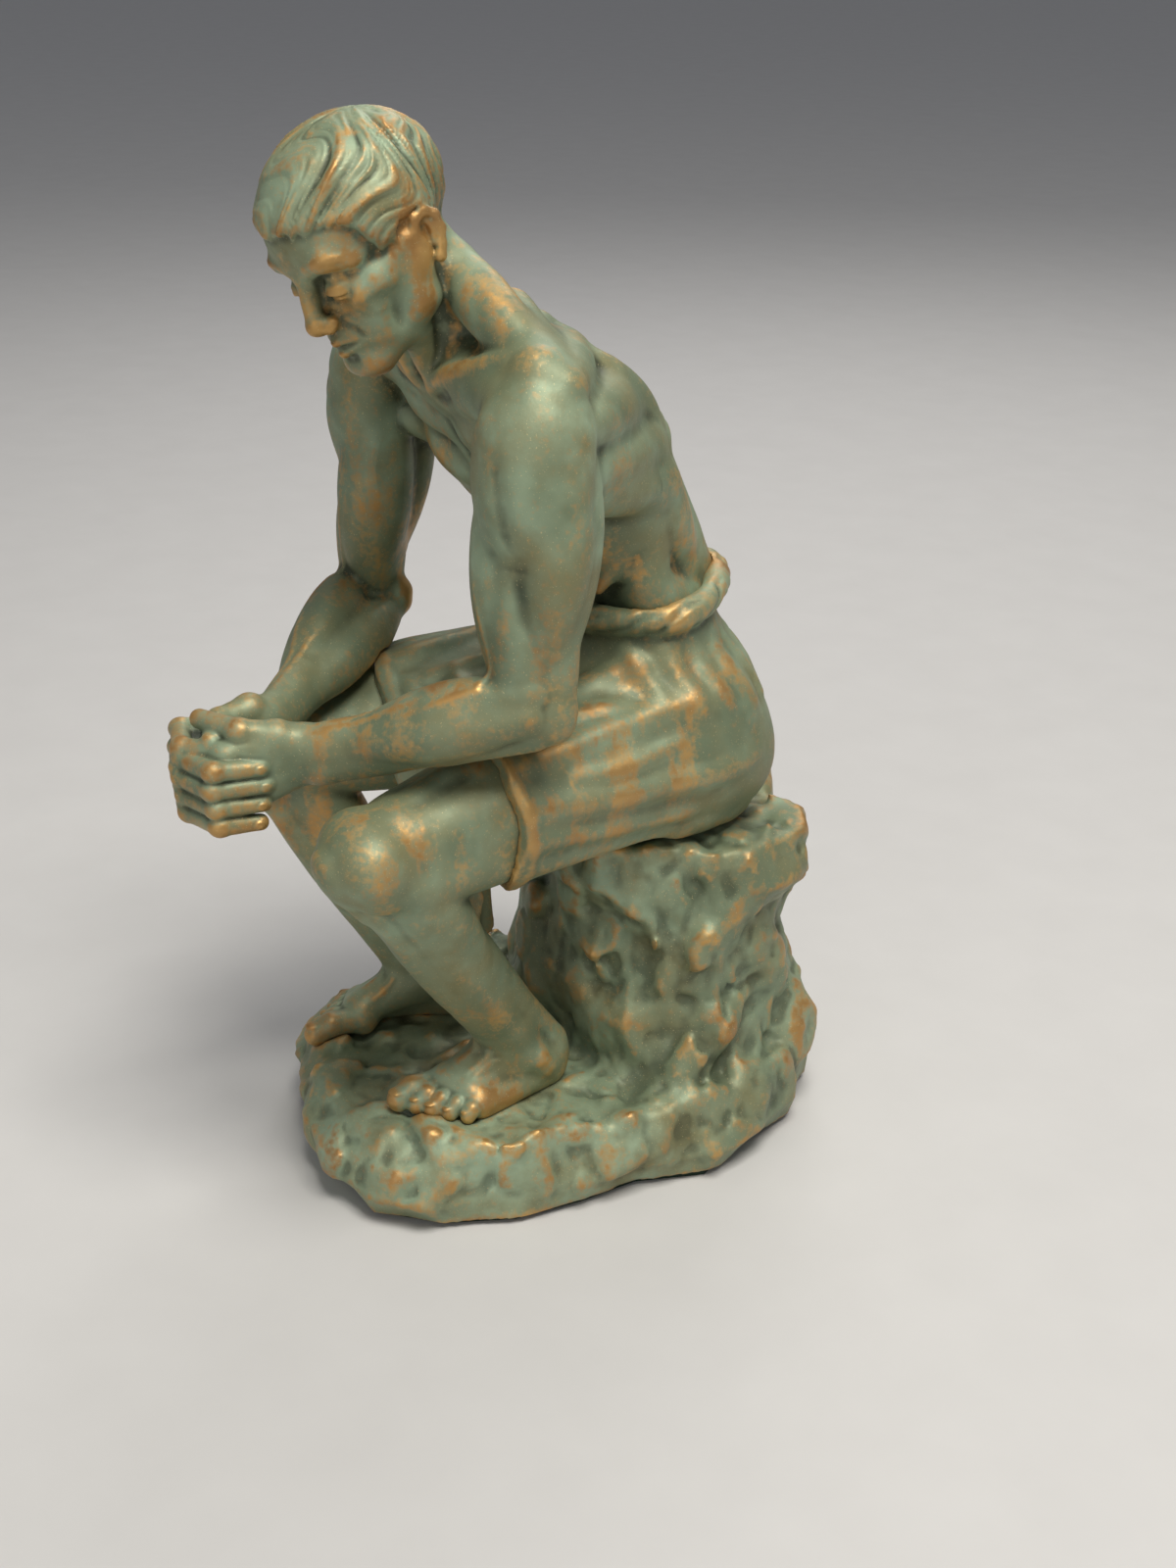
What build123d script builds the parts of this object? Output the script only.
"""Seated figure in thought on a rock: a statuette cast in pieces that are pinned and glued together.

Millimetres, +Z up, the figure facing -Y with its left side at +X.
The origin is the middle of the felt's underside, on the surface that the statuette stands on.
One skeleton places every casting, and neighbouring castings meet on shared joint planes.
"""

import os
from math import cos, floor, radians, sin, sqrt, tau

from build123d import *

# Rock: a plinth for the feet and a boulder to sit on
felt_thickness = 1.5
felt_inset = 2.0
plinth_half_width = 50.0
plinth_half_depth = 62.0
plinth_height = 20.0
boulder_setback = 28.0
boulder_half_width = 42.0
boulder_half_depth = 33.0
seat_height = 78.0
rock_facets = 24
rock_squareness = 2.6
rock_bump_counts = (3, 5)
rock_bump_shares = (0.025, 0.02)
rock_turn_share = 0.06
rock_chip = 2.6
rock_scatter = (12.9898, 78.233, 43758.5453)
plinth_section_shares = ((0.0, 0.96), (0.3, 1.0), (0.65, 1.0), (1.0, 0.94))
boulder_section_shares = (
    (-0.15, 1.08),
    (0.05, 1.02),
    (0.18, 0.94),
    (0.34, 0.88),
    (0.5, 0.85),
    (0.66, 0.88),
    (0.8, 0.95),
    (0.9, 1.0),
    (1.0, 0.96),
)
chisel_turn_shares = (0.04, 0.19, 0.33, 0.46, 0.62, 0.8, 0.93)
chisel_reach_shares = (0.95, 0.97, 0.94, 0.96, 0.93, 0.96, 0.94)
chisel_tilts = (-9.0, 7.0, 5.0, -8.0, 6.0, -6.0, 9.0)

# Hollow of the rock, its ballast and what closes it
cavity_half_width = 27.0
cavity_half_depth = 20.0
cavity_top_share = 0.8
seat_wall = 11.0
cover_half_width = 35.0
cover_half_depth = 28.0
cover_thickness = 4.0
ballast_height = 30.0
fit_clearance = 0.3
screw_radius = 1.5
screw_head_radius = 2.9
screw_head_height = 1.6
screw_length = 12.0
screw_edge_margin = 4.0
screw_angles = (40.0, 140.0, 220.0, 320.0)

# Threaded stud that holds the figure down on the rock
stud_radius = 3.0
stud_length = 42.0
stud_setback = 24.0
stud_clearance = 0.3
stud_engagement = 15.0
insert_radius = 4.5
insert_length = 16.0
washer_radius = 9.0
washer_thickness = 1.6
nut_across_flats = 10.0
nut_height = 5.0
nut_countersink = 0.6

# Skeleton: lengths between joints, and how far each stretch leans forward of upright
hip_setback = 22.0
hip_rise = 20.0
hip_half_width = 14.0
lumbar_length = 32.0
rib_length = 37.0
shoulder_length = 34.0
neck_length = 35.0
lumbar_lean = 4.0
rib_lean = 26.0
shoulder_lean = 40.0
neck_lean = 42.0
head_bow = 34.0
head_turn = 14.0
shoulder_half_width = 37.0
shoulder_drop = 6.0
shoulder_forward = 2.0
upper_arm_length = 62.0
forearm_length = 50.0
wrist_half_gap = 10.0
wrist_forward = 4.0
wrist_rise = 15.0
thigh_length = 82.0
shin_length = 74.0
ankle_height = 10.0
ankle_half_gap = 20.0
left_ankle_forward = 18.0
right_ankle_forward = 24.0
knee_direction = Vector(0.25, -1, 0.4)
elbow_direction = Vector(0.6, 0.6, -0.5)

# Torso: half width and half depth of the body at each level
waist_half_width = 22.5
waist_half_depth = 16.5
rib_half_width = 24.0
rib_half_depth = 18.0
chest_half_width = 27.0
chest_half_depth = 19.5
collar_half_width = 21.0
collar_half_depth = 15.0
yoke_shoulder_radius = 11.5
yoke_neck_radius = 12.0
shoulder_inset = 10.0
pectoral_half_width = 14.0
pectoral_half_depth = 6.5
pectoral_half_height = 15.0
pectoral_half_gap = 13.5
rib_share = 0.42
upper_chest_share = 0.5
upper_chest_depth_share = 0.82
pectoral_depth_share = 0.69
back_column_half_gap = 8.0
back_column_radius = 6.2
back_column_depth_shares = (0.68, 0.76, 0.6)
spine_groove_radius = 4.0
spine_groove_depth = 2.0
blade_half_width = 9.0
blade_half_depth = 6.5
blade_half_height = 15.0
blade_half_gap = 15.0
blade_rise = 6.0
blade_depth_share = 0.72
blade_ridge_radius = 6.4
blade_ridge_half_gap = 9.0
blade_ridge_depth = 12.0
blade_ridge_rise = 20.0
blade_ridge_setback = 4.0
blade_ridge_lift = 3.0
blade_ridge_half_length = 19.0
web_radius = 12.3
web_half_length = 20.0
web_half_gap = 21.0
web_depth = 1.0
web_rise = 7.0
web_arm_setback = 7.5
web_arm_share = 0.22

# Neck and head, sized along its own left, back and up directions
neck_half_width = 11.8
neck_half_depth = 11.5
neck_stub = 9.0
skull_half_width = 16.2
skull_half_depth = 19.5
skull_half_height = 17.5
jaw_drop = 24.5
jaw_forward = 10.0
brow_half_width = 14.6
brow_half_depth = 13.4
cheek_half_width = 13.4
mouth_half_width = 10.4
chin_half_width = 6.0
nose_length = 11.0
nose_reach = 4.6
nose_root_radius = 1.9
nose_tip_radius = 2.9
ear_half_thickness = 2.2
ear_half_depth = 4.4
ear_half_height = 6.6
ear_drop = 5.5
ear_setback = 1.5
face_shares = (0.06, 0.36, 0.66, 1.0)

# Arms
deltoid_half_depth = 15.0
deltoid_setback = 1.5
deltoid_radius = 13.0
deltoid_half_length = 17.0
deltoid_share = 0.07
thigh_contact_gap = 0.3
upper_arm_top_radius = 9.4
biceps_radius = 10.4
elbow_end_radius = 7.6
elbow_radius = 8.3
forearm_radius = 8.5
wrist_half_width = 5.2
wrist_half_depth = 4.4
upper_arm_shares = (0.0, 0.48, 1.0)
forearm_shares = (0.0, 0.28, 1.0)

# Clasped hands
palm_length = 18.0
palm_half_thickness = 4.6
palm_half_height = 8.6
palm_lean_in = 4.0
palm_drop = 5.0
finger_count = 4
finger_pitch = 4.1
finger_stagger = 1.0
finger_root_radius = 2.4
finger_middle_radius = 2.25
finger_tip_radius = 2.1
knuckle_reach = 6.5
finger_lie = 11.0
thumb_rise = 10.5
thumb_radius = 2.6
palm_shares = (0.0, 0.45, 1.0)

# Hips and the cloth wrapped round them
hip_block_half_width = 34.0
hip_block_half_depth = 25.5
hip_top_half_width = 28.5
hip_top_half_depth = 21.5
hip_top_setback = 2.0
seat_half_width = 18.0
seat_half_depth = 17.0
seat_half_height = 22.0
seat_half_gap = 16.0
seat_setback = 8.0
cloth_thickness = 2.0
waist_roll_radius = 2.8
hem_share = 0.66
lap_half_depth = 10.0
lap_half_width = 16.0
lap_spread = 9.0
lap_rise = 3.0
fall_pleats = 3
fall_pitch = 6.4
fall_top_radius = 3.6
fall_bottom_radius = 4.6
fall_length = 42.0
fall_drop = 2.0
hip_level_shares = (0.0, 0.36, 0.72)
lap_shares = (0.1, 0.4, 0.94)
fall_place_share = 0.8

# Legs
thigh_root_radius = 19.0
thigh_middle_radius = 17.4
thigh_hem_radius = 15.2
above_knee_radius = 13.0
knee_end_radius = 11.4
knee_radius = 12.6
calf_half_width = 10.8
calf_half_depth = 12.2
calf_back = 2.6
shin_top_radius = 11.0
ankle_half_width = 6.0
ankle_half_depth = 6.6
thigh_middle_share = 0.4
above_knee_share = 0.88
shin_shares = (0.0, 0.3, 0.62, 1.0)
shin_slim_share = 0.75

# Feet
foot_length = 43.0
heel_back = 11.0
heel_half_width = 6.2
heel_half_height = 8.5
instep_half_width = 8.0
instep_half_height = 12.0
ball_half_width = 9.4
ball_half_height = 6.5
toe_root_half_width = 8.6
toe_root_half_height = 4.2
foot_splay = 9.0
toe_length = 9.5
big_toe_radius = 3.0
little_toe_radius = 1.9
toe_count = 5
foot_shares = (0.02, 0.24, 0.62, 0.84)
toe_row_share = 0.74
toe_setback_share = 0.16

# Dowels in the glued joints
neck_pin_radius = 2.0
neck_pin_length = 16.0
waist_pin_radius = 2.0
waist_pin_length = 20.0
waist_pin_half_gap = 11.0
shoulder_pin_radius = 2.0
shoulder_pin_length = 14.0
wrist_pin_radius = 1.25
wrist_pin_length = 10.0
thigh_pin_radius = 2.0
thigh_pin_length = 18.0
foot_pin_radius = 1.5
foot_pin_length = 15.0
glue_clearance = 0.1
glue_end_gap = 0.5
dowel_chamfer = 0.3

sides = {"left": 1, "right": -1}


def lean(start, length, degrees):
    """The point at that length from start, leaning forward of upright."""
    return start + Vector(0, -sin(radians(degrees)), cos(radians(degrees))) * length


def mirrored(direction, side):
    """A direction given for the left side, turned over for the right one."""
    return Vector(direction.X * side, direction.Y, direction.Z)


def middle_joint(start, end, first_length, second_length, direction):
    """Where an elbow or knee lies between two joints, on the side that the direction points to."""
    span = end - start
    along = span.normalized()
    reach = (first_length**2 - second_length**2 + span.length**2) / (2 * span.length)
    height = sqrt(first_length**2 - reach**2)
    return start + along * reach + (direction - along * direction.dot(along)).normalized() * height


def between(start, end, share):
    return start + (end - start) * share


def cross_plane(point, direction):
    """A plane square to a limb, its X axis towards the figure's left."""
    return Plane(origin=point, x_dir=(1, 0, 0), z_dir=direction)


def level(point):
    return Plane(origin=point, x_dir=(1, 0, 0), z_dir=(0, 0, 1))


def body(stations):
    """A loft through ellipses, each on a plane with its half width and half depth."""
    sections = []
    for plane, half_width, half_depth in stations:
        with BuildSketch(plane) as section:
            Ellipse(half_width, half_depth)
        sections.append(section.sketch)
    with BuildPart() as form:
        loft(sections=sections)
    return form.part


def limb(start, end, shares, radii):
    """A round limb from joint to joint, with a radius at each share of its length."""
    places = zip(shares, radii)
    return body([(cross_plane(between(start, end, s), end - start), r, r) for s, r in places])


def ellipsoid(plane, half_sizes):
    with BuildPart() as ball:
        Sphere(1)
        scale(by=half_sizes)
    return plane * ball.part


def knuckled(points, radii):
    """A finger or thumb: round-ended bones from point to point, each thinner than the one before."""
    with BuildPart() as digit:
        for start, end, radius in zip(points, points[1:], radii):
            bone = end - start
            with BuildSketch(Plane(origin=start, z_dir=bone)):
                Circle(radius)
            extrude(amount=bone.length)
            with Locations(start, end):
                Sphere(radius)
    return digit.part


def rod(center, direction, radius, length):
    with BuildPart(Plane(origin=center, z_dir=direction)) as bar:
        Cylinder(radius, length)
    return bar.part


def dowel(center, direction, radius, length):
    with BuildPart() as pin:
        add(rod(center, direction, radius, length))
        chamfer(pin.edges().filter_by(GeomType.CIRCLE), dowel_chamfer)
    return pin.part


def socket(center, direction, radius, length):
    """The hole for a dowel, through both castings that it joins."""
    return rod(center, direction, radius + glue_clearance, length + 2 * glue_end_gap)


def scatter(step, row):
    """A fixed but uneven number from -1 to 1 for one corner of the rock."""
    step_gain, row_gain, spread = rock_scatter
    value = sin(step * step_gain + row * row_gain) * spread
    return 2 * (value - floor(value)) - 1


def rock_section(height, half_width, half_depth, row, setback=0.0):
    """An uneven outline of the rock at one height, each corner chipped in or left standing out."""
    points = []
    for step in range(rock_facets):
        angle = tau * step / rock_facets
        corner = abs(cos(angle)) ** rock_squareness + abs(sin(angle)) ** rock_squareness
        bumps = zip(rock_bump_counts, rock_bump_shares)
        turn = tau * rock_turn_share * row
        swell = 1 + sum(share * cos(count * angle + turn + count) for count, share in bumps)
        reach = swell * corner ** (-1 / rock_squareness)
        chip = rock_chip * scatter(step, row)
        x = (half_width * reach + chip) * cos(angle)
        y = (half_depth * reach + chip) * sin(angle)
        points.append((x, setback + y))
    with BuildSketch(Plane.XY.offset(height)) as section:
        with BuildLine():
            Polyline(*points, close=True)
        make_face()
    return section.sketch


def make_boulder():
    """The block that the figure sits on, its sides chiselled off in flats."""
    sections = []
    for row, (height_share, size_share) in enumerate(boulder_section_shares, len(plinth_section_shares)):
        height = plinth_height + (seat_height - plinth_height) * height_share
        half_width = boulder_half_width * size_share
        half_depth = boulder_half_depth * size_share
        sections.append(rock_section(height, half_width, half_depth, row, boulder_setback))
    middle = Vector(0, boulder_setback, (plinth_height + seat_height) / 2)
    with BuildPart() as boulder:
        loft(sections=sections, ruled=True)
        for turn_share, reach_share, tilt in zip(chisel_turn_shares, chisel_reach_shares, chisel_tilts):
            angle = tau * turn_share
            touch = Vector(boulder_half_width * cos(angle), boulder_half_depth * sin(angle), 0)
            outward = Vector(boulder_half_depth * cos(angle), boulder_half_width * sin(angle), 0)
            normal = outward.normalized() + Vector(0, 0, sin(radians(tilt)))
            split(bisect_by=Plane(origin=middle + touch * reach_share, z_dir=normal), keep=Keep.BOTTOM)
    return boulder.part


def make_sleeve(name, extra):
    """The upper thigh down to the hem, as thick again all round as the extra."""
    radii = (thigh_root_radius, thigh_middle_radius, thigh_hem_radius)
    return limb(hip[name], knee[name], (0.0, thigh_middle_share, hem_share), [r + extra for r in radii])


def make_lower_thigh(name, extra):
    """The thigh from the hem to the knee, as thick again all round as the extra."""
    radii = (thigh_hem_radius, above_knee_radius, knee_end_radius)
    with BuildPart() as lower_thigh:
        add(limb(hip[name], knee[name], (hem_share, above_knee_share, 1), [r + extra for r in radii]))
        with Locations(knee[name]):
            Sphere(knee_radius + extra)
    return lower_thigh.part


def make_waist_roll():
    """The rolled edge of the cloth, an oval ring round the waist."""
    half_depth = waist_half_depth + cloth_thickness
    with BuildPart() as roll:
        Torus(half_depth, waist_roll_radius)
        scale(by=(waist_half_width / half_depth, 1, 1))
    return waist_plane * roll.part


def make_back_column(side):
    """The long muscle beside the spine, from the waist to the collar."""
    planes = (waist_plane, chest_plane, collar_plane)
    half_depths = (waist_half_depth, chest_half_depth, collar_half_depth)
    stations = []
    for plane, half_depth, share in zip(planes, half_depths, back_column_depth_shares):
        center = plane.from_local_coords((side * back_column_half_gap, half_depth * share, 0))
        stations.append((cross_plane(center, plane.z_dir), back_column_radius, back_column_radius))
    return body(stations)


def make_spine_groove():
    """The furrow down the middle of the back, as a form to cut away."""
    stations = []
    for plane, half_depth in ((waist_plane, waist_half_depth), (chest_plane, chest_half_depth)):
        center = plane.from_local_coords((0, half_depth - spine_groove_depth + spine_groove_radius, 0))
        stations.append((cross_plane(center, plane.z_dir), spine_groove_radius, spine_groove_radius))
    return body(stations)


def make_shoulder_web(name, side):
    """The muscles that run from the shoulder blade and its ridge out to the arm."""
    web_start = chest_plane.from_local_coords((side * web_half_gap, web_depth, web_rise))
    web_end = between(shoulder[name], elbow[name], web_arm_share) + Vector(0, web_arm_setback, 0)
    ridge_place = (side * blade_ridge_half_gap, blade_ridge_depth, blade_ridge_rise)
    ridge_start = chest_plane.from_local_coords(ridge_place)
    ridge_end = shoulder[name] + Vector(0, blade_ridge_setback, blade_ridge_lift)
    web_plane = cross_plane((web_start + web_end) / 2, web_end - web_start)
    ridge_plane = cross_plane((ridge_start + ridge_end) / 2, ridge_end - ridge_start)
    with BuildPart() as web:
        add(ellipsoid(web_plane, (web_radius, web_radius, web_half_length)))
        add(ellipsoid(ridge_plane, (blade_ridge_radius, blade_ridge_radius, blade_ridge_half_length)))
    return web.part


def export(piece, name):
    piece.label = name
    export_step(piece, f"parts/{name}.step")


# Spine, neck and head
hip_center = Vector(0, hip_setback, seat_height + hip_rise)
waist = lean(hip_center, lumbar_length, lumbar_lean)
chest = lean(waist, rib_length, rib_lean)
shoulder_center = lean(chest, shoulder_length, shoulder_lean)
neck_joint = lean(shoulder_center, neck_stub, neck_lean)
head_center = lean(shoulder_center, neck_length, neck_lean)
waist_plane = cross_plane(waist, waist - hip_center)
neck_plane = cross_plane(neck_joint, head_center - shoulder_center)
head_up = lean(Vector(0, 0, 0), 1, head_bow)
head_back = head_up.cross(Vector(1, 0, 0))
head_left = Vector(1, 0, 0) * cos(radians(head_turn)) + head_back * sin(radians(head_turn))
head_plane = Plane(origin=head_center, x_dir=head_left, z_dir=head_up)
chest_plane = cross_plane(chest, shoulder_center - chest)
collar_plane = cross_plane(shoulder_center, shoulder_center - chest)

# Legs and arms, by side
ankle_forward = {"left": left_ankle_forward, "right": right_ankle_forward}
hip, knee, ankle, shoulder, elbow, wrist = {}, {}, {}, {}, {}, {}
for name, side in sides.items():
    hip[name] = hip_center + Vector(side * hip_half_width, 0, 0)
    ankle[name] = Vector(side * ankle_half_gap, -ankle_forward[name], plinth_height + ankle_height)
    knee[name] = middle_joint(
        hip[name], ankle[name], thigh_length, shin_length, mirrored(knee_direction, side)
    )
knee_middle = between(knee["left"], knee["right"], 0.5)
for name, side in sides.items():
    shoulder[name] = shoulder_center + Vector(
        side * shoulder_half_width, -shoulder_forward, -shoulder_drop
    )
    wrist[name] = knee_middle + Vector(side * wrist_half_gap, -wrist_forward, wrist_rise)
    elbow[name] = middle_joint(
        shoulder[name], wrist[name], upper_arm_length, forearm_length, mirrored(elbow_direction, side)
    )
shoulder_cut = shoulder_half_width - shoulder_inset
seat_plane = Plane.XY.offset(seat_height)
sole_plane = Plane.XY.offset(plinth_height)

# Glued joints: where each dowel lies and which way it points
neck_joints = [(neck_joint, head_center - shoulder_center, neck_pin_radius, neck_pin_length)]
waist_joints = [
    (waist + Vector(side * waist_pin_half_gap, 0, 0), waist - hip_center, waist_pin_radius, waist_pin_length)
    for side in sides.values()
]
shoulder_joints, wrist_joints, thigh_joints, foot_joints = {}, {}, {}, {}
for name, side in sides.items():
    shoulder_face = Vector(side * shoulder_cut, shoulder[name].Y, shoulder[name].Z)
    shoulder_joints[name] = (shoulder_face, Vector(side, 0, 0), shoulder_pin_radius, shoulder_pin_length)
    wrist_joints[name] = (wrist[name], wrist[name] - elbow[name], wrist_pin_radius, wrist_pin_length)
    hem = between(hip[name], knee[name], hem_share)
    thigh_joints[name] = (hem, knee[name] - hip[name], thigh_pin_radius, thigh_pin_length)
    sole = Vector(ankle[name].X, ankle[name].Y, plinth_height)
    foot_joints[name] = (sole, Vector(0, 0, 1), foot_pin_radius, foot_pin_length)

# Rock, hollow from below, with a recess for its cover
cavity_top = seat_height - seat_wall
cover_top = felt_thickness + cover_thickness
stud_axis = Vector(0, stud_setback, seat_height)
screw_places = [
    (
        (cover_half_width - screw_edge_margin) * cos(radians(angle)),
        boulder_setback + (cover_half_depth - screw_edge_margin) * sin(radians(angle)),
    )
    for angle in screw_angles
]
with BuildPart() as rock:
    plinth_sections = []
    for row, (height_share, size_share) in enumerate(plinth_section_shares):
        height = felt_thickness + (plinth_height - felt_thickness) * height_share
        half_width = plinth_half_width * size_share
        half_depth = plinth_half_depth * size_share
        plinth_sections.append(rock_section(height, half_width, half_depth, row))
    loft(sections=plinth_sections, ruled=True)
    add(make_boulder())
    cavity_foot = Vector(0, boulder_setback, felt_thickness)
    cavity_roof = Vector(0, boulder_setback, cavity_top)
    cavity_stations = [
        (level(cavity_foot), cavity_half_width, cavity_half_depth),
        (level(cavity_roof), cavity_half_width * cavity_top_share, cavity_half_depth * cavity_top_share),
    ]
    add(body(cavity_stations), mode=Mode.SUBTRACT)
    with BuildSketch(level(cavity_foot)):
        Ellipse(cover_half_width + fit_clearance, cover_half_depth + fit_clearance)
    extrude(amount=cover_thickness, mode=Mode.SUBTRACT)
    with Locations(*[(x, y, felt_thickness) for x, y in screw_places]):
        Cylinder(
            screw_radius + glue_clearance,
            screw_length + glue_end_gap,
            align=(Align.CENTER, Align.CENTER, Align.MIN),
            mode=Mode.SUBTRACT,
        )
    add(rod(stud_axis, (0, 0, 1), stud_radius + stud_clearance, 2 * stud_length), mode=Mode.SUBTRACT)
    for joint in foot_joints.values():
        add(socket(*joint), mode=Mode.SUBTRACT)

# Hips in their cloth: the seat, a sleeve on each thigh, the lap between them and the hanging end
with BuildPart() as hip_cloth:
    hip_levels = [between(Vector(0, hip_setback, seat_height), waist, s) for s in hip_level_shares]
    hip_stations = [
        (level(hip_levels[0]), hip_block_half_width, hip_block_half_depth),
        (level(hip_levels[1]), hip_block_half_width, hip_block_half_depth),
        (level(hip_levels[2] + Vector(0, hip_top_setback, 0)), hip_top_half_width, hip_top_half_depth),
        (waist_plane, waist_half_width + cloth_thickness, waist_half_depth + cloth_thickness),
    ]
    add(body(hip_stations))
    add(make_waist_roll())
    split(bisect_by=waist_plane, keep=Keep.BOTTOM)
    for name, side in sides.items():
        seat_center = hip_center + Vector(side * seat_half_gap, seat_setback, 0)
        add(ellipsoid(level(seat_center), (seat_half_width, seat_half_depth, seat_half_height)))
        add(make_sleeve(name, cloth_thickness))
    lap_start = hip_center + Vector(0, 0, lap_rise)
    lap_end = between(hip_center, knee_middle, hem_share) + Vector(0, 0, lap_rise)
    lap_stations = []
    for share in lap_shares:
        lap_plane = cross_plane(between(lap_start, lap_end, share), lap_end - lap_start)
        lap_stations.append((lap_plane, lap_half_width + lap_spread * share, lap_half_depth))
    add(body(lap_stations))
    split(bisect_by=seat_plane, keep=Keep.TOP)
    fall_top = between(lap_start, lap_end, fall_place_share) - Vector(0, 0, fall_drop)
    for pleat in range(fall_pleats):
        sideways = (pleat - (fall_pleats - 1) / 2) * fall_pitch
        with Locations(fall_top + Vector(sideways, 0, 0)):
            Cone(
                fall_bottom_radius,
                fall_top_radius,
                fall_length,
                align=(Align.CENTER, Align.CENTER, Align.MAX),
            )
    for joint in [*waist_joints, *thigh_joints.values()]:
        add(socket(*joint), mode=Mode.SUBTRACT)
    insert_height = insert_length + glue_end_gap
    insert_center = stud_axis + Vector(0, 0, insert_height / 2)
    add(rod(insert_center, (0, 0, 1), insert_radius + glue_clearance, insert_height), mode=Mode.SUBTRACT)

# Torso, cut flat where the arms join
rib_point = between(waist, chest, rib_share)
upper_chest = between(chest, shoulder_center, upper_chest_share)
upper_chest_half_depth = chest_half_depth * upper_chest_depth_share
with BuildPart() as torso:
    torso_stations = [
        (waist_plane, waist_half_width, waist_half_depth),
        (cross_plane(rib_point, chest - waist), rib_half_width, rib_half_depth),
        (cross_plane(chest, shoulder_center - waist), chest_half_width, chest_half_depth),
        (cross_plane(upper_chest, shoulder_center - chest), chest_half_width, upper_chest_half_depth),
        (collar_plane, collar_half_width, collar_half_depth),
        (neck_plane, neck_half_width, neck_half_depth),
    ]
    add(body(torso_stations))
    for side in sides.values():
        add(make_back_column(side))
    add(make_spine_groove(), mode=Mode.SUBTRACT)
    yoke_points = (shoulder["right"], shoulder_center, shoulder["left"])
    yoke_radii = (yoke_shoulder_radius, yoke_neck_radius, yoke_shoulder_radius)
    yoke_planes = [Plane(origin=point, x_dir=(0, 1, 0), z_dir=(1, 0, 0)) for point in yoke_points]
    add(body(list(zip(yoke_planes, yoke_radii, yoke_radii))))
    for name, side in sides.items():
        add(make_shoulder_web(name, side))
        blade_place = (side * blade_half_gap, chest_half_depth * blade_depth_share, blade_rise)
        blade_axes = cross_plane(chest_plane.from_local_coords(blade_place), chest_plane.z_dir)
        add(ellipsoid(blade_axes, (blade_half_width, blade_half_depth, blade_half_height)))
        pectoral_place = (
            side * pectoral_half_gap,
            -chest_half_depth * pectoral_depth_share,
            pectoral_half_height / 2,
        )
        pectoral_center = chest_plane.from_local_coords(pectoral_place)
        pectoral_axes = cross_plane(pectoral_center, chest_plane.z_dir)
        add(ellipsoid(pectoral_axes, (pectoral_half_width, pectoral_half_depth, pectoral_half_height)))
    split(bisect_by=Plane.YZ.offset(shoulder_cut), keep=Keep.BOTTOM)
    split(bisect_by=Plane.YZ.offset(-shoulder_cut), keep=Keep.TOP)
    split(bisect_by=neck_plane, keep=Keep.BOTTOM)
    for joint in [*neck_joints, *waist_joints, *shoulder_joints.values()]:
        add(socket(*joint), mode=Mode.SUBTRACT)

# Head and neck, with a plain face
with BuildPart() as head:
    add(ellipsoid(head_plane, (skull_half_width, skull_half_depth, skull_half_height)))
    face_half_widths = (brow_half_width, cheek_half_width, mouth_half_width, chin_half_width)
    face_stations = []
    for share, half_width in zip(face_shares, face_half_widths):
        center = head_plane.from_local_coords((0, -jaw_forward * (1 + share) / 2, -jaw_drop * share))
        plane = Plane(origin=center, x_dir=head_left, z_dir=head_up)
        face_stations.append((plane, half_width, half_width * brow_half_depth / brow_half_width))
    add(body(face_stations[::-1]))
    nose_root = head_plane.from_local_coords((0, -skull_half_depth + nose_root_radius, 0))
    nose_tip = head_plane.from_local_coords((0, -skull_half_depth - nose_reach / 2, -nose_length))
    add(limb(nose_root, nose_tip, (0, 1), (nose_root_radius, nose_tip_radius)))
    for side in sides.values():
        ear_center = head_plane.from_local_coords((side * skull_half_width, ear_setback, -ear_drop))
        ear_plane = Plane(origin=ear_center, x_dir=head_left, z_dir=head_up)
        add(ellipsoid(ear_plane, (ear_half_thickness, ear_half_depth, ear_half_height)))
    neck_stations = [
        (neck_plane, neck_half_width, neck_half_depth),
        (cross_plane(head_center, neck_plane.z_dir), neck_half_width, neck_half_depth),
    ]
    add(body(neck_stations))
    for joint in neck_joints:
        add(socket(*joint), mode=Mode.SUBTRACT)


def make_arm(name, side):
    """Upper arm and forearm, cut flat at the shoulder and at the wrist, the forearm bearing on the thigh."""
    with BuildPart() as arm:
        upper_radii = (upper_arm_top_radius, biceps_radius, elbow_end_radius)
        add(limb(shoulder[name], elbow[name], upper_arm_shares, upper_radii))
        deltoid_center = between(shoulder[name], elbow[name], deltoid_share)
        deltoid_center += Vector(0, deltoid_setback, 0)
        deltoid_plane = cross_plane(deltoid_center, elbow[name] - shoulder[name])
        add(ellipsoid(deltoid_plane, (deltoid_radius, deltoid_half_depth, deltoid_half_length)))
        add(make_shoulder_web(name, side))
        split(bisect_by=Plane.YZ.offset(side * shoulder_cut), keep=Keep.TOP if side > 0 else Keep.BOTTOM)
        with Locations(elbow[name]):
            Sphere(elbow_radius)
        widths = (elbow_end_radius, forearm_radius, wrist_half_width)
        depths = (elbow_end_radius, forearm_radius, wrist_half_depth)
        forearm_stations = []
        for share, half_width, half_depth in zip(forearm_shares, widths, depths):
            plane = cross_plane(between(elbow[name], wrist[name], share), wrist[name] - elbow[name])
            forearm_stations.append((plane, half_width, half_depth))
        add(body(forearm_stations))
        add(make_sleeve(name, cloth_thickness + thigh_contact_gap), mode=Mode.SUBTRACT)
        add(make_lower_thigh(name, thigh_contact_gap), mode=Mode.SUBTRACT)
        for joint in (shoulder_joints[name], wrist_joints[name]):
            add(socket(*joint), mode=Mode.SUBTRACT)
    return arm.part


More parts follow.
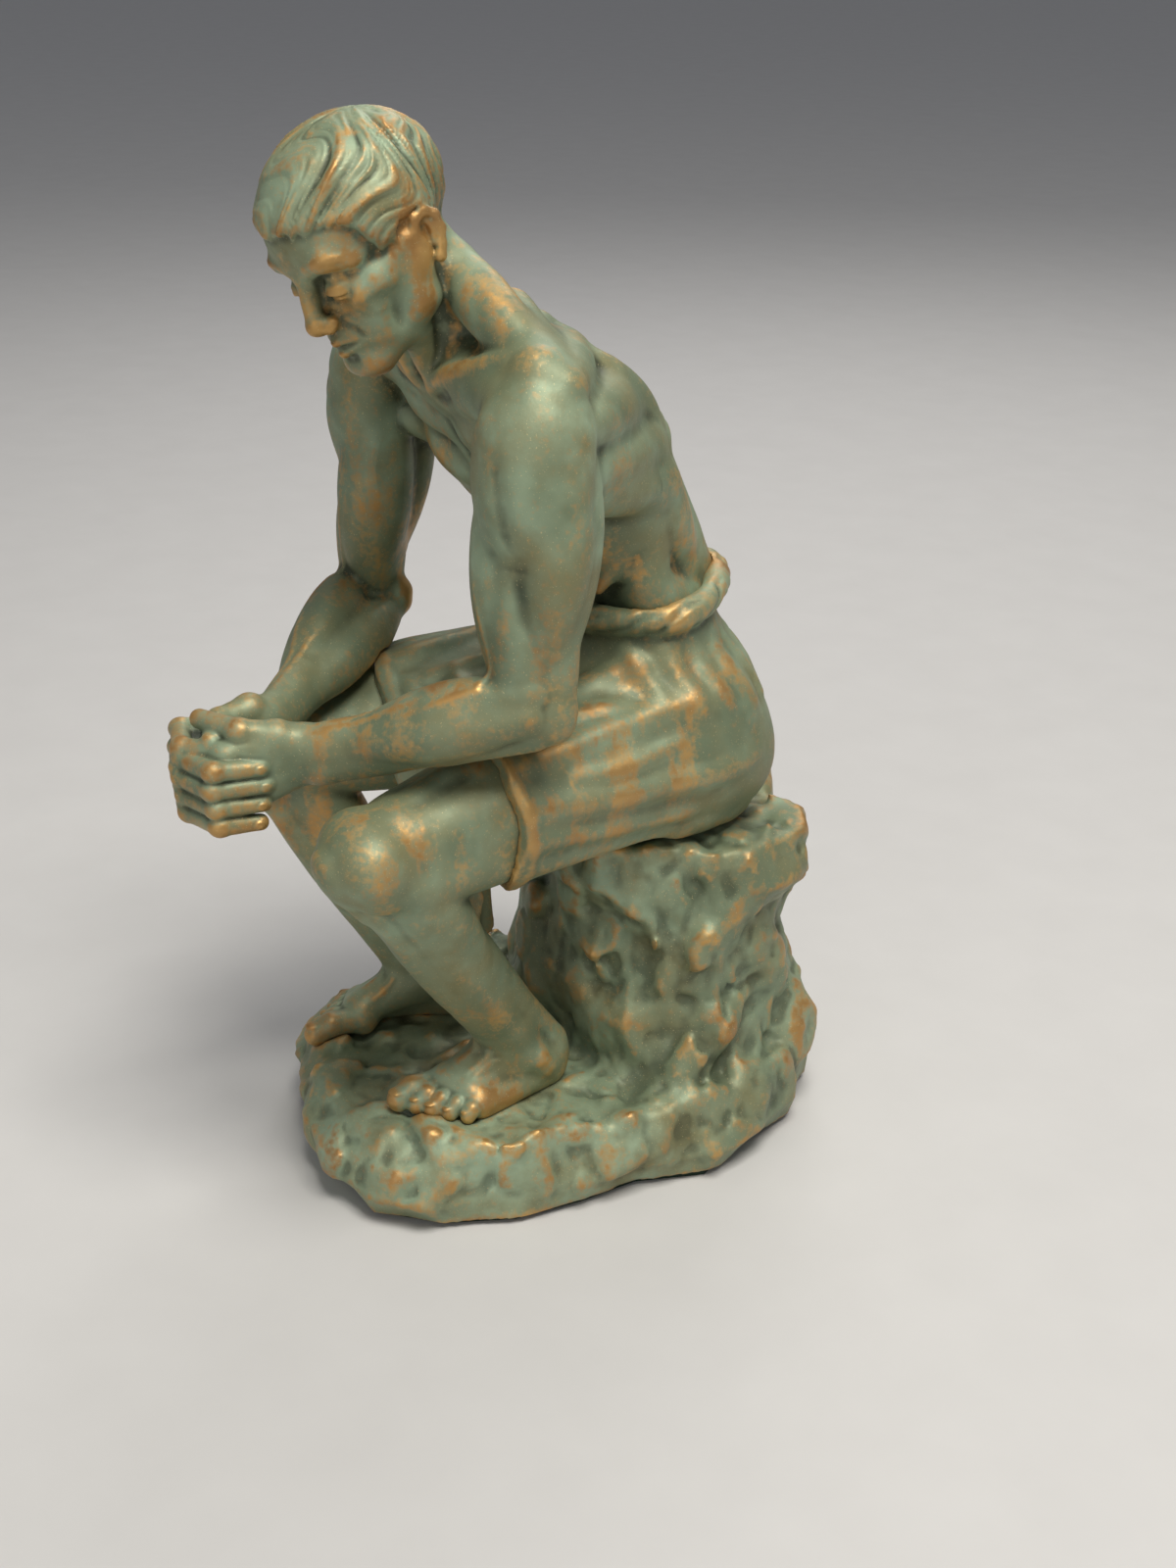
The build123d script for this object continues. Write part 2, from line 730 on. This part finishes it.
# Hands with their fingers laced, cast as one
with BuildPart() as clasped_hands:
    for name, side in sides.items():
        palm_end = wrist[name] + Vector(-side * palm_lean_in, -palm_length, -palm_drop)
        palm_stations = [
            (cross_plane(wrist[name], wrist[name] - elbow[name]), wrist_half_width, wrist_half_depth),
            (
                cross_plane(between(wrist[name], palm_end, palm_shares[1]), Vector(0, -1, 0)),
                palm_half_thickness,
                palm_half_height,
            ),
            (cross_plane(palm_end, Vector(0, -1, 0)), palm_half_thickness, palm_half_height),
        ]
        add(body(palm_stations))
        for finger in range(finger_count):
            row = ((finger_count - 1) / 2 - finger) * finger_pitch + side * finger_stagger
            root = palm_end + Vector(0, 0, row)
            outer = palm_end.X * side + palm_half_thickness + finger_tip_radius / 2
            finger_points = [
                root,
                Vector(0, root.Y - knuckle_reach, root.Z),
                Vector(-side * outer, root.Y - knuckle_reach / 2, root.Z),
                Vector(-side * outer, root.Y + finger_lie, root.Z),
            ]
            add(knuckled(finger_points, (finger_root_radius, finger_middle_radius, finger_tip_radius)))
        thumb_points = [
            between(wrist[name], palm_end, palm_shares[1]) + Vector(0, 0, palm_half_height - thumb_radius),
            palm_end + Vector(0, palm_length / 4, thumb_rise + side * thumb_radius / 2),
            palm_end + Vector(-side * finger_lie, 0, thumb_rise + side * thumb_radius / 2),
        ]
        add(knuckled(thumb_points, (thumb_radius, thumb_radius - finger_stagger / 4)))
    for joint in wrist_joints.values():
        add(socket(*joint), mode=Mode.SUBTRACT)


def make_leg(name, side):
    """The leg below the cloth's hem: lower thigh, knee, shin and a foot with toes."""
    heading = radians(foot_splay) * side
    forward = Vector(sin(heading), -cos(heading), 0)
    sideways = Vector(cos(heading), sin(heading), 0)
    sole = Vector(ankle[name].X, ankle[name].Y, plinth_height)
    heel = sole - forward * heel_back
    toe_line = heel + forward * foot_length
    shin_direction = ankle[name] - knee[name]
    with BuildPart() as leg:
        add(make_lower_thigh(name, 0))
        shin_sizes = (
            (shin_top_radius, shin_top_radius, 0),
            (calf_half_width, calf_half_depth, calf_back),
            (calf_half_width * shin_slim_share, calf_half_depth * shin_slim_share, calf_back / 2),
            (ankle_half_width, ankle_half_depth, 0),
        )
        shin_stations = []
        for share, (half_width, half_depth, back) in zip(shin_shares, shin_sizes):
            center = between(knee[name], ankle[name], share) + Vector(0, back, 0)
            shin_stations.append((cross_plane(center, shin_direction), half_width, half_depth))
        add(body(shin_stations))
        foot_sizes = (
            (heel_half_width, heel_half_height),
            (instep_half_width, instep_half_height),
            (ball_half_width, ball_half_height),
            (toe_root_half_width, toe_root_half_height),
        )
        foot_stations = []
        for share, (half_width, half_height) in zip(foot_shares, foot_sizes):
            center = between(heel, toe_line, share) + Vector(0, 0, half_height / 2)
            foot_stations.append((Plane(origin=center, x_dir=sideways, z_dir=forward), half_width, half_height))
        add(body(foot_stations))
        for toe in range(toe_count):
            spread = toe / (toe_count - 1)
            radius = big_toe_radius + (little_toe_radius - big_toe_radius) * spread
            row = between(heel, toe_line, toe_row_share - toe_setback_share * spread)
            reach = side * (spread - 0.5) * 2 * (ball_half_width - radius)
            root = row + sideways * reach + Vector(0, 0, radius)
            add(knuckled([root, root + forward * toe_length], (radius,)))
        split(bisect_by=sole_plane, keep=Keep.TOP)
        for joint in (thigh_joints[name], foot_joints[name]):
            add(socket(*joint), mode=Mode.SUBTRACT)
    return leg.part


def make_dowels(joints):
    with BuildPart() as dowels:
        for joint in joints:
            add(dowel(*joint))
    return dowels.part


# Stud, with its insert in the hips and its nut inside the rock
stud_top = seat_height + stud_engagement
with BuildPart() as seat_stud:
    add(rod(Vector(0, stud_setback, stud_top - stud_length / 2), (0, 0, 1), stud_radius, stud_length))
    chamfer(seat_stud.edges().filter_by(GeomType.CIRCLE), nut_countersink)
with BuildPart(Plane(origin=stud_axis)) as stud_insert:
    Cylinder(insert_radius, insert_length, align=(Align.CENTER, Align.CENTER, Align.MIN))
    Cylinder(
        stud_radius + glue_clearance,
        insert_length,
        align=(Align.CENTER, Align.CENTER, Align.MIN),
        mode=Mode.SUBTRACT,
    )
with BuildPart(Plane(origin=(0, stud_setback, cavity_top))) as seat_washer:
    Cylinder(washer_radius, washer_thickness, align=(Align.CENTER, Align.CENTER, Align.MAX))
    Cylinder(stud_radius + stud_clearance, 2 * washer_thickness, mode=Mode.SUBTRACT)
with BuildPart(Plane(origin=(0, stud_setback, cavity_top - washer_thickness))) as seat_nut:
    with BuildSketch(Plane(origin=(0, stud_setback, cavity_top - washer_thickness))):
        RegularPolygon(nut_across_flats / 2, 6, major_radius=False)
    extrude(amount=-nut_height)
    Cylinder(stud_radius + glue_clearance, 2 * nut_height, mode=Mode.SUBTRACT)

# Ballast, the board under it, its screws and the felt
ballast_top = cover_top + ballast_height
narrowing = (1 - cavity_top_share) / (cavity_top - felt_thickness)
with BuildPart() as ballast_block:
    ballast_stations = []
    for height in (cover_top, ballast_top):
        share = 1 - narrowing * (height - felt_thickness)
        ballast_stations.append(
            (
                level(Vector(0, boulder_setback, height)),
                cavity_half_width * share - fit_clearance,
                cavity_half_depth * share - fit_clearance,
            )
        )
    add(body(ballast_stations))
with BuildPart() as bottom_cover:
    with BuildSketch(level(cavity_foot)):
        Ellipse(cover_half_width, cover_half_depth)
    extrude(amount=cover_thickness)
    with Locations(*[Location((x, y, felt_thickness), (180, 0, 0)) for x, y in screw_places]):
        CounterSinkHole(screw_radius + glue_clearance, screw_head_radius + glue_clearance)
with BuildPart() as cover_screws:
    with Locations(*[(x, y, felt_thickness) for x, y in screw_places]):
        Cone(
            screw_head_radius,
            screw_radius,
            screw_head_height,
            align=(Align.CENTER, Align.CENTER, Align.MIN),
        )
        Cylinder(screw_radius, screw_length, align=(Align.CENTER, Align.CENTER, Align.MIN))
with BuildPart() as felt_pad:
    _, foot_share = plinth_section_shares[0]
    felt_half_width = plinth_half_width * foot_share - felt_inset
    felt_half_depth = plinth_half_depth * foot_share - felt_inset
    extrude(rock_section(0, felt_half_width, felt_half_depth, 0), amount=felt_thickness)

os.makedirs("parts", exist_ok=True)
export(rock.part, "rock")
export(hip_cloth.part, "hip_cloth")
export(torso.part, "torso")
export(head.part, "head")
export(clasped_hands.part, "clasped_hands")
for name, side in sides.items():
    export(make_arm(name, side), f"{name}_arm")
    export(make_leg(name, side), f"{name}_leg")
export(make_dowels(neck_joints), "neck_pin")
export(make_dowels(waist_joints), "waist_pins")
export(make_dowels(shoulder_joints.values()), "shoulder_pins")
export(make_dowels(wrist_joints.values()), "wrist_pins")
export(make_dowels(thigh_joints.values()), "thigh_pins")
export(make_dowels(foot_joints.values()), "foot_pins")
export(seat_stud.part, "seat_stud")
export(stud_insert.part, "stud_insert")
export(seat_washer.part, "seat_washer")
export(seat_nut.part, "seat_nut")
export(ballast_block.part, "ballast_block")
export(bottom_cover.part, "bottom_cover")
export(cover_screws.part, "cover_screws")
export(felt_pad.part, "felt_pad")
